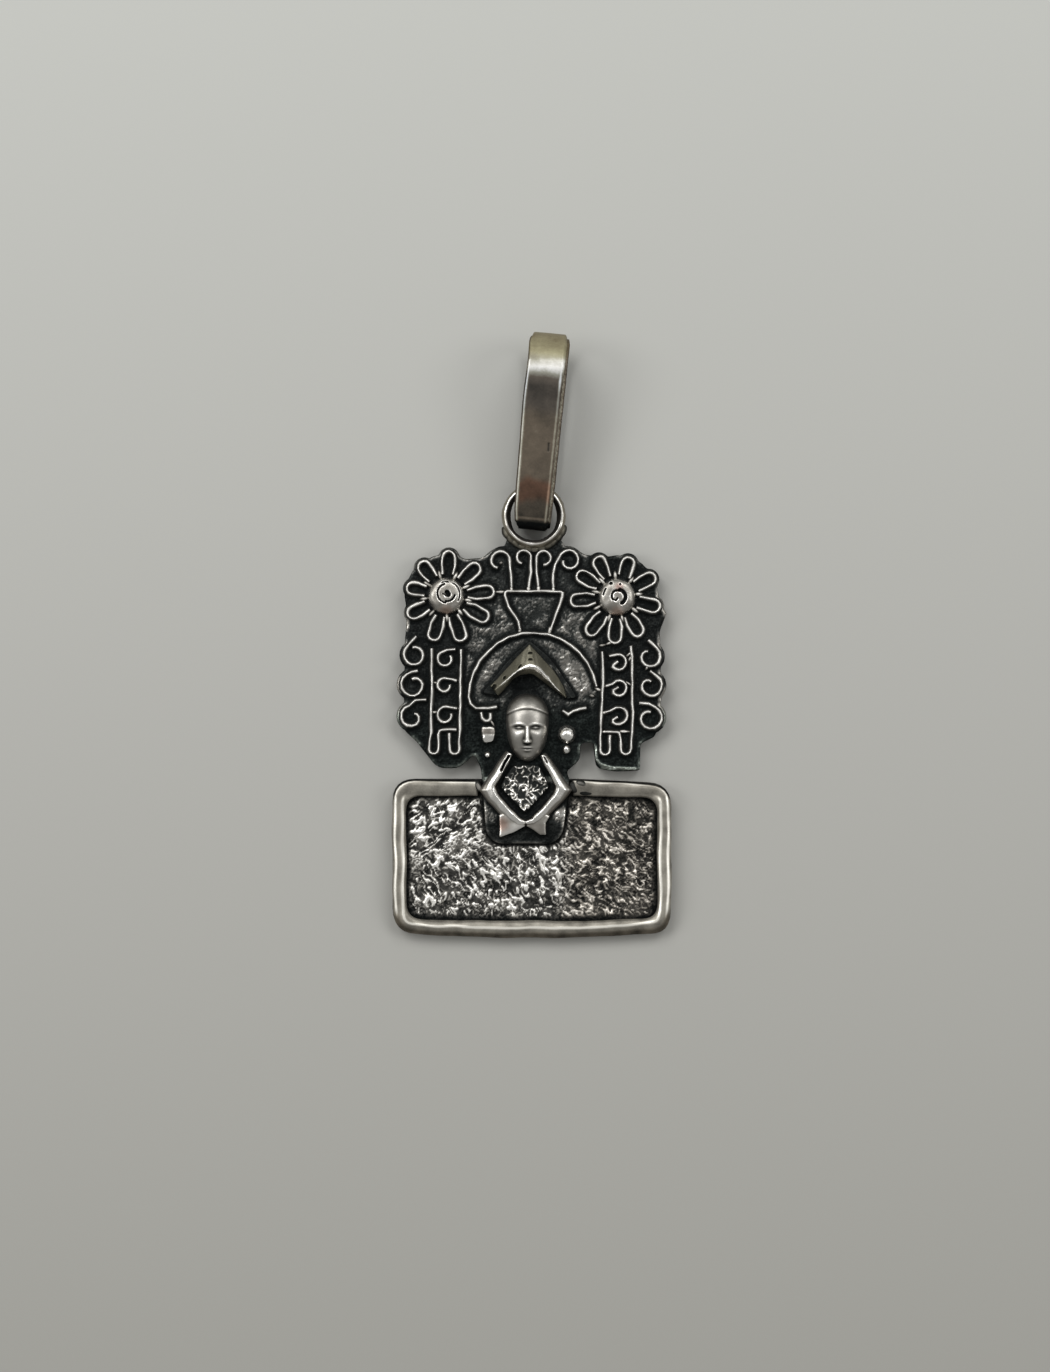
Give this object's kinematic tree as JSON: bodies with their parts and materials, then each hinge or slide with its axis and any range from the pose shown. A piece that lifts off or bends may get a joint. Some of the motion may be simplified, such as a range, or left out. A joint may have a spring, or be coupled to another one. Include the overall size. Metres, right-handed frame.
{
  "type": "deity pendant",
  "caption": "Silver devotional pendant: a crowned half figure under an arch between two flowers, on a framed base plate, hung from a loose strap bail.",
  "frame": {"origin": "on the plaque's flat back, behind the middle of the arch", "axes": "+Z out of the face, +Y up the plaque towards the bail, +X to the right seen from the front"},
  "size_m": [0.024, 0.0517, 0.0062],
  "materials": {
    "polished_silver": "hand-polished silver, oxidised in the corners",
    "oxidised_silver": "blackened silver sheet, rough",
    "worn_silver": "worn, half polished silver",
    "tarnished_silver": "smooth silver strap, brown-grey tarnish with fine scratches"
  },
  "bodies": {
    "plaque": {"petal_left_1": "polished_silver", "petal_left_2": "polished_silver", "petal_left_3": "polished_silver", "petal_left_4": "polished_silver", "petal_left_5": "polished_silver", "petal_left_6": "polished_silver", "petal_left_7": "polished_silver", "petal_left_8": "polished_silver", "petal_left_9": "polished_silver", "petal_right_1": "polished_silver", "petal_right_2": "polished_silver", "petal_right_3": "polished_silver", "petal_right_4": "polished_silver", "petal_right_5": "polished_silver", "petal_right_6": "polished_silver", "petal_right_7": "polished_silver", "petal_right_8": "polished_silver", "petal_right_9": "polished_silver", "boss_left": "polished_silver", "boss_right": "polished_silver", "scroll_left_1": "polished_silver", "scroll_left_2": "polished_silver", "scroll_left_3": "polished_silver", "scroll_right_1": "polished_silver", "scroll_right_2": "polished_silver", "scroll_right_3": "polished_silver", "rail_left_outer": "polished_silver", "rail_left_inner": "polished_silver", "rail_right_inner": "polished_silver", "rail_right_outer": "polished_silver", "curl_left_1": "polished_silver", "curl_left_2": "polished_silver", "curl_left_3": "polished_silver", "curl_right_1": "polished_silver", "curl_right_2": "polished_silver", "curl_right_3": "polished_silver", "scroll_top_1": "polished_silver", "scroll_top_2": "polished_silver", "scroll_top_3": "polished_silver", "scroll_top_4": "polished_silver", "panel_wire": "polished_silver", "arch_wire": "polished_silver", "brow_wire_right": "polished_silver", "hood": "oxidised_silver", "crest": "worn_silver", "head": "polished_silver", "arm_left": "polished_silver", "arm_right": "polished_silver", "body": "oxidised_silver", "ear_hook_left": "polished_silver", "ear_bead_left": "polished_silver", "ear_bead_right": "polished_silver", "ear_drop_left": "polished_silver", "ear_drop_right": "polished_silver", "figure_plate": "oxidised_silver", "base_plate": "oxidised_silver", "base_frame": "polished_silver", "eye": "polished_silver"},
    "bail": {"bail": "tarnished_silver"}
  },
  "joints": [
    {"name": "bail_swing", "type": "hinge", "parent": "plaque", "child": "bail", "pos_m": [0.00037, 0.01787, 0.00195], "axis": [0.9957, -0.0924, 0], "range_deg": [-127, 130]}
  ]
}
